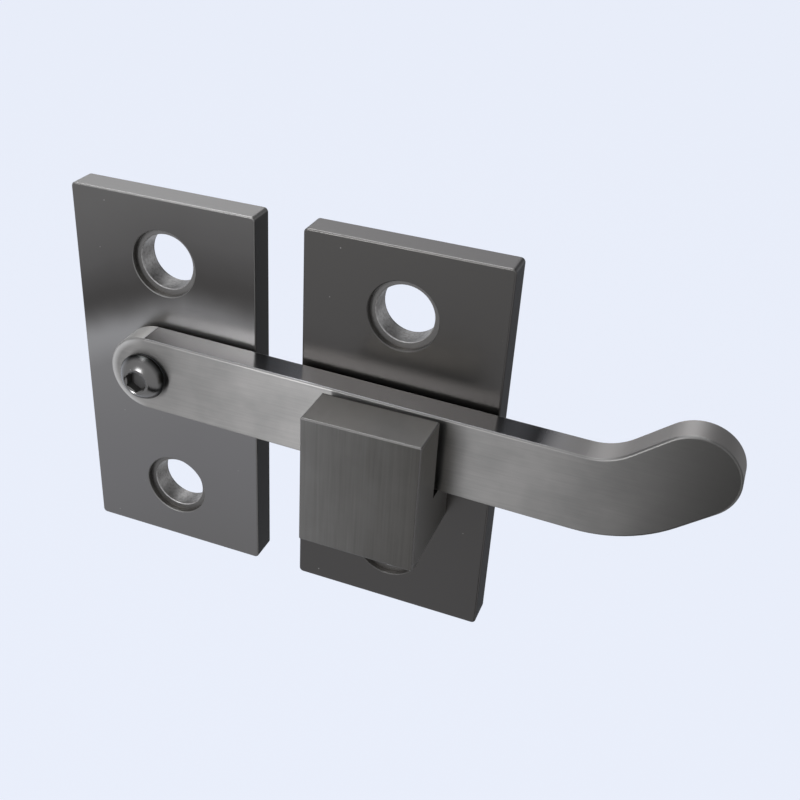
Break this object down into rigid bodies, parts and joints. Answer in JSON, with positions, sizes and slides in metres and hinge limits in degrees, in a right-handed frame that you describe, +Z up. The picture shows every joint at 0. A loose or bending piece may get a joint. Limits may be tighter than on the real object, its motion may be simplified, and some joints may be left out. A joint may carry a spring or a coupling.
{
  "type": "gate latch",
  "caption": "Drop-bar gate latch: a flat arm with a turned-up handle swings on a screw on the post plate and drops into an open slot on the gate plate.",
  "frame": {"origin": "on the back of the latch plate, midway between its two fixing holes", "axes": "+X from the latch plate to the keeper plate, +Y into the post and the gate, +Z up"},
  "size_m": [0.1336, 0.025, 0.08],
  "materials": {
    "plate_steel": "satin",
    "arm_steel": "brushed lengthwise",
    "keeper_steel": "brushed upright",
    "pivot_screw_steel": "polished",
    "keeper_screw_steel": "plain",
    "washer_nylon": "matte"
  },
  "bodies": {
    "plates": {"latch_plate": "plate_steel", "rear_washer": "washer_nylon", "front_washer": "washer_nylon", "pivot_screw": "pivot_screw_steel", "keeper_plate": "plate_steel", "keeper_block": "keeper_steel", "keeper_screw_left": "keeper_screw_steel", "keeper_screw_right": "keeper_screw_steel"},
    "arm": {"latch_arm": "arm_steel"}
  },
  "joints": [
    {"name": "arm_pivot", "type": "hinge", "parent": "plates", "child": "arm", "pos_m": [-0.0012, -0.01, 0.0051], "axis": [0, -1, 0], "range_deg": [0, 324]}
  ]
}
